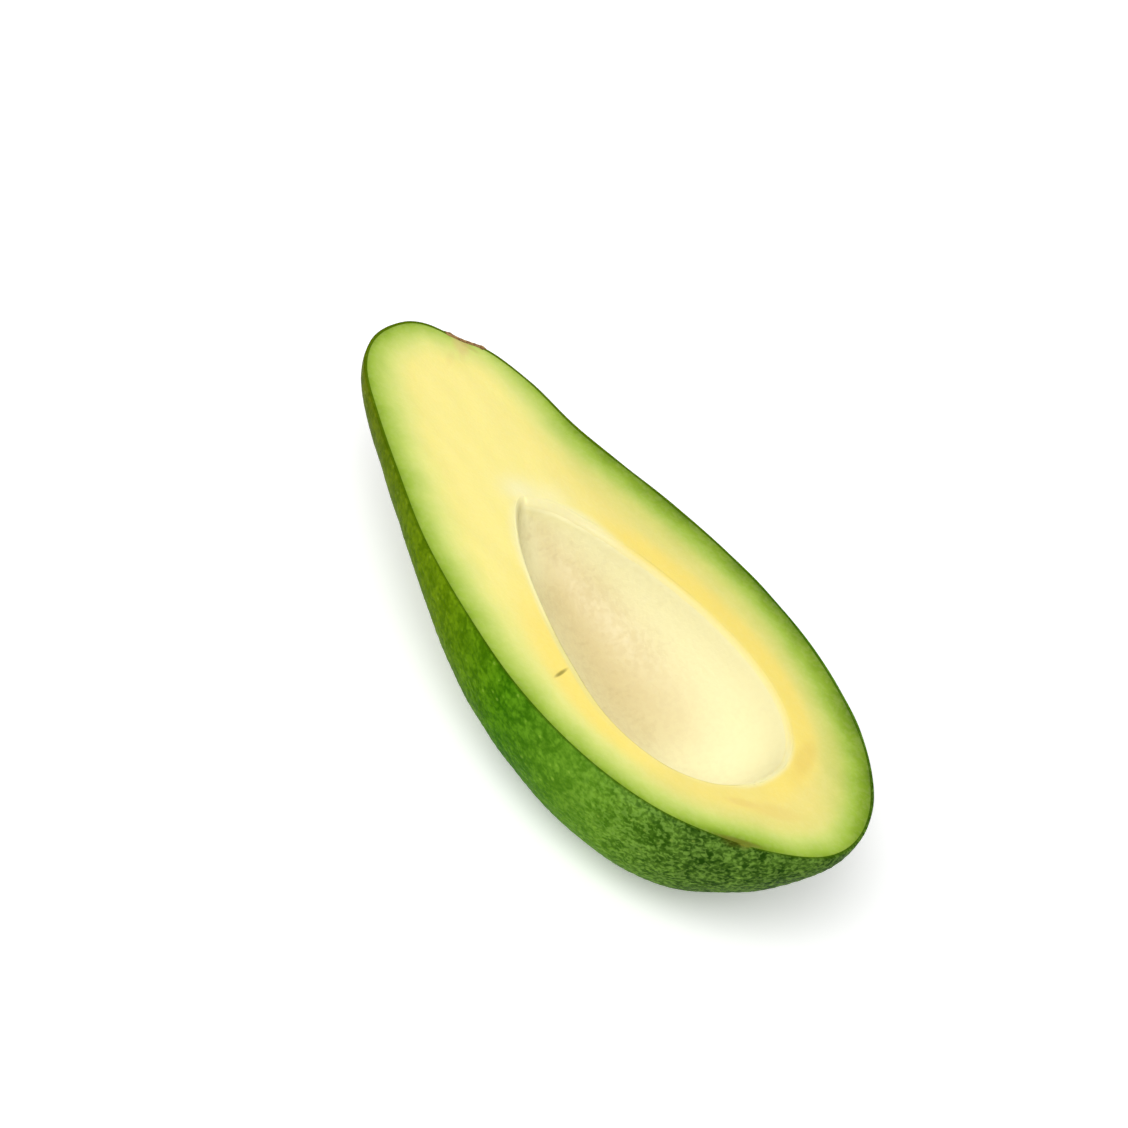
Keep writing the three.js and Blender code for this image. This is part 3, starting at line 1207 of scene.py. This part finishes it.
# Mustard and the band are the flesh's own colours, and the cream is the lip's own colour, taken off
# in places as painted shade.  The wall tint is painted shade on the lip's top, the deep wall tint
# painted light on the wall below it, the near lip tint painted shade, and the lip's turn painted
# shade where the far lip faces the lamp.
FLESH_TINTS = (
    ("mustard", 0.36, paint(226, 206, 110)),
    ("band", 0.75, paint(255, 228, 112)),
    ("wall_painted_shade", 0.8, paint(253, 235, 146)),
    ("deep_wall_painted_light", 1.0, paint(255, 245, 182)),
    ("cream", 1.0, paint(254, 244, 182)),
    ("near_lip_painted_shade", 0.85, paint(236, 226, 150)),
    ("lip_turn", 0.15, paint(0, 0, 0)),
)
PALE_GRAIN = paint(255, 248, 200)
FLESH_MARKS = (
    (NICK_MIDDLE, NICK_ANGLE, 5.2, 1.0, 0.8, paint(148, 136, 56)),
    ((54.4, -2.6), 1.01, 13.0, 5.0, 0.30, paint(232, 200, 110)),
    ((50.8, -7.6), 1.01, 8.0, 2.6, 0.28, paint(228, 190, 104)),
    ((46.3, 11.6), -1.0, 15.0, 5.0, 0.30, paint(222, 190, 92)),
    ((57.7, -14.2), 0.94, 13.0, 1.8, 0.6, paint(108, 98, 14)),
    ((-58.4, 11.6), -0.40, 8.0, 4.4, 0.50, paint(228, 194, 130)),
    ((-55.6, 6.9), -0.85, 8.0, 2.0, 0.09, paint(206, 166, 92)),
    ((-55.6, 9.8), -0.50, 5.0, 1.8, 0.09, paint(206, 160, 92)),
    ((-57.4, 12.9), 0.55, 6.0, 1.4, 0.25, paint(190, 146, 84)),
)

# %% Flesh finish
flesh_finish, tree, shader = start_finish("avocado_flesh_finish")
place = millimetres(tree)
vary = variation(tree, place, 7.0, 0.9, 0.3)
wander = spread(tree, vary["Patches"], 0.0, 1.0, -0.3, 0.3)
green_depth = calc(tree, "ADD", attribute(tree, "green_depth"), wander)
green_depth = calc(tree, "ADD", green_depth, BAND_START)
colour = ramp(tree, calc(tree, "DIVIDE", green_depth, BAND_LENGTH, clamp=True), FLESH_COLOURS)
for name, strength, tint in FLESH_TINTS:
    share = calc(tree, "MULTIPLY", attribute(tree, name), strength)
    colour = mix(tree, share, colour, tint)
colour = mix(tree, spread(tree, vary["Grain"], 0.2, 1.0, 0.0, 0.05), colour, PALE_GRAIN)
colour = stain(tree, place, colour, FLESH_MARKS)
wire(tree, shader, {
    "Base Color": colour,
    "Roughness": spread(tree, vary["Both"], 0.0, 1.0, 0.40, 0.55),
    "Normal": relief(tree, vary["Grain"], 0.12, 0.0001),
    "Specular IOR Level": 0.3,
    "Subsurface Weight": 0.18,
    "Subsurface Radius": (0.0030, 0.0024, 0.0010),
    "Subsurface Scale": 1.0,
})
print("flesh finish:", len(tree.nodes), "nodes")

# %% [markdown]
# ## The lining's finish
#
# Cream where light is painted, warmer and a little tan where shade is painted.  A film of tan, the
# coat's own colour, lies in patches with its grain, laid on more strongly where shade is painted,
# and the grooves of the wrinkles get painted shade; all three fade as the painted light grows.
# Near its edge it turns to the cream of the lip, partly painted light over the wall's shade, so no
# line shows there.

# %% Lining finish
# From painted shade to painted light.
LINING_SHADE_TO_LIGHT = [
    (0.0, paint(226, 208, 152)),
    (0.5, paint(236, 222, 168)),
    (1.0, paint(255, 249, 196)),
]
# The coat's own tans, laid on more strongly where shade is painted.
TAN_FILM = paint(214, 196, 138)
TAN_GRAIN = paint(220, 198, 146)
# Painted shade in the grooves of the wrinkles.
WRINKLE_PAINTED_SHADE = paint(208, 186, 132)
# The lip's cream, partly painted light over the wall's shade.
LIP_CREAM_AND_PAINTED_LIGHT = paint(255, 247, 186)

lining_finish, tree, shader = start_finish("seat_lining_finish")
place = millimetres(tree)
vary = variation(tree, place, 10.0, 1.2, 0.3)
lining_painted_light = attribute(tree, "brightness")
colour = ramp(tree, lining_painted_light, LINING_SHADE_TO_LIGHT)
painted_dimness = calc(tree, "SUBTRACT", 1.1, lining_painted_light)
film = calc(tree, "MULTIPLY", spread(tree, vary["Both"], 0.45, 0.95), 0.35)
colour = mix(tree, calc(tree, "MULTIPLY", film, painted_dimness), colour, TAN_FILM)
grain = spread(tree, vary["Grain"], 0.25, 0.85, 0.0, 0.22)
colour = mix(tree, calc(tree, "MULTIPLY", grain, painted_dimness), colour, TAN_GRAIN)
# Painted shade in the wrinkles' grooves, stronger where the lining is dim.
wrinkle_painted_shade = spread(tree, attribute(tree, "wrinkle"), 0.0, -0.7)
wrinkle_painted_shade = calc(tree, "MULTIPLY", wrinkle_painted_shade, calc(tree, "SUBTRACT", 1.15, lining_painted_light))
colour = mix(tree, calc(tree, "MULTIPLY", wrinkle_painted_shade, 0.6), colour, WRINKLE_PAINTED_SHADE)
colour = mix(tree, attribute(tree, "cream"), LIP_CREAM_AND_PAINTED_LIGHT, colour)
wire(tree, shader, {
    "Base Color": colour,
    "Roughness": spread(tree, vary["Grain"], 0.0, 1.0, 0.42, 0.56),
    "Normal": relief(tree, vary["Grain"], 0.3, 0.0001),
    "Subsurface Weight": 0.15,
    "Subsurface Radius": (0.0030, 0.0024, 0.0012),
    "Subsurface Scale": 1.0,
})
print("lining finish:", len(tree.nodes), "nodes")

# %% [markdown]
# ## The scar's finish
#
# Dry cork: matt, reddish brown, with darker pits and paler crumbs.

# %% Scar finish
CORK_COLOURS = [
    (0.1, paint(88, 58, 26)),
    (0.5, paint(142, 104, 54)),
    (0.9, paint(192, 154, 96)),
]

scar_finish, tree, shader = start_finish("stem_scar_finish")
place = millimetres(tree)
vary = variation(tree, place, 1.6, 0.35, 0.5)
wire(tree, shader, {
    "Base Color": ramp(tree, vary["Both"], CORK_COLOURS),
    "Roughness": 0.85,
    "Normal": relief(tree, vary["Both"], 0.8, 0.0003),
})
print("scar finish:", len(tree.nodes), "nodes")

# %% Dress the pieces
SHARP_ANGLE = math.radians(50)

for piece, finish in (
    (skin, skin_finish),
    (flesh, flesh_finish),
    (lining, lining_finish),
    (scar, scar_finish),
):
    piece.data.materials.clear()
    piece.data.materials.append(finish)
    only(piece)
    bpy.ops.object.shade_smooth_by_angle(angle=SHARP_ANGLE)
    print(piece.name, "wears", finish.name)

# %% [markdown]
# ## The table and the light
#
# A white table that glows a little, a surround, and two large soft lamps: a key lamp above the
# near side and a weaker one low on the stem's side.  The surround keeps shadows pale and gives
# the skin its soft sheen.  The camera sees it as pure white, but it lights the fruit with less.

# %% Table and surround
TABLE_SIZE = 6
TABLE_WHITE = (0.93, 0.93, 0.93, 1)
TABLE_GLOW = 0.3
PURE_WHITE = (1, 1, 1, 1)
SURROUND_LEVEL = 0.15
SURROUND_TOP = 0.55

bpy.ops.object.select_all(action="DESELECT")
bpy.ops.mesh.primitive_plane_add(size=TABLE_SIZE, location=(0, 0, 0))
table = bpy.context.object
table.name = "table"
table_finish, tree, shader = start_finish("table_finish")
wire(tree, shader, {
    "Base Color": TABLE_WHITE,
    "Roughness": 0.9,
    "Specular IOR Level": 0.1,
    "Emission Color": PURE_WHITE,
    "Emission Strength": TABLE_GLOW,
})
table.data.materials.append(table_finish)

world = bpy.data.worlds.new("studio_surround")
bpy.context.scene.world = world
world.use_nodes = True
tree = world.node_tree
way = put(tree, "TexCoord").outputs["Generated"]
upward = put(tree, "SeparateXYZ", {0: way}).outputs["Z"]
brightness = spread(tree, upward, 0.0, 1.0, SURROUND_LEVEL, SURROUND_TOP)
seen = put(tree, "LightPath").outputs["Is Camera Ray"]
brightness = between(tree, seen, brightness, 1.0)
wire(tree, tree.nodes["Background"], {"Color": PURE_WHITE, "Strength": brightness})
print("a table", TABLE_SIZE, "m wide and a white surround")

# %% Lamps
LAMP_DISTANCE = 1.3


def soft_lamp(name, direction, size, power):
    """A round lamp that looks at the origin from a direction."""
    lamp_data = bpy.data.lights.new(name, "AREA")
    lamp_data.shape = "DISK"
    lamp_data.size = size
    lamp_data.energy = power
    lamp = bpy.data.objects.new(name, lamp_data)
    bpy.context.scene.collection.objects.link(lamp)
    way = Vector(direction).normalized()
    lamp.location = way * LAMP_DISTANCE
    lamp.rotation_euler = way.to_track_quat("Z", "Y").to_euler()
    print(name, "gives", power, "W")


soft_lamp("key_lamp", (0.20, -0.60, 0.74), 0.8, 12.6)
soft_lamp("stem_side_fill", (-0.85, -0.35, 0.34), 0.9, 3.8)

# %% [markdown]
# ## Riding on the body
#
# Every piece rides on the one body.  Together the four stand for the plain solid, which stays
# for collision and isn't shown.

# %% Ride and replace
for piece, slot in (
    (skin, "skin"),
    (flesh, "flesh"),
    (lining, "seat_lining"),
    (scar, "stem_scar"),
):
    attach(piece, "root")
    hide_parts("avocado_half")
    print(piece.name, "takes the slot", slot)
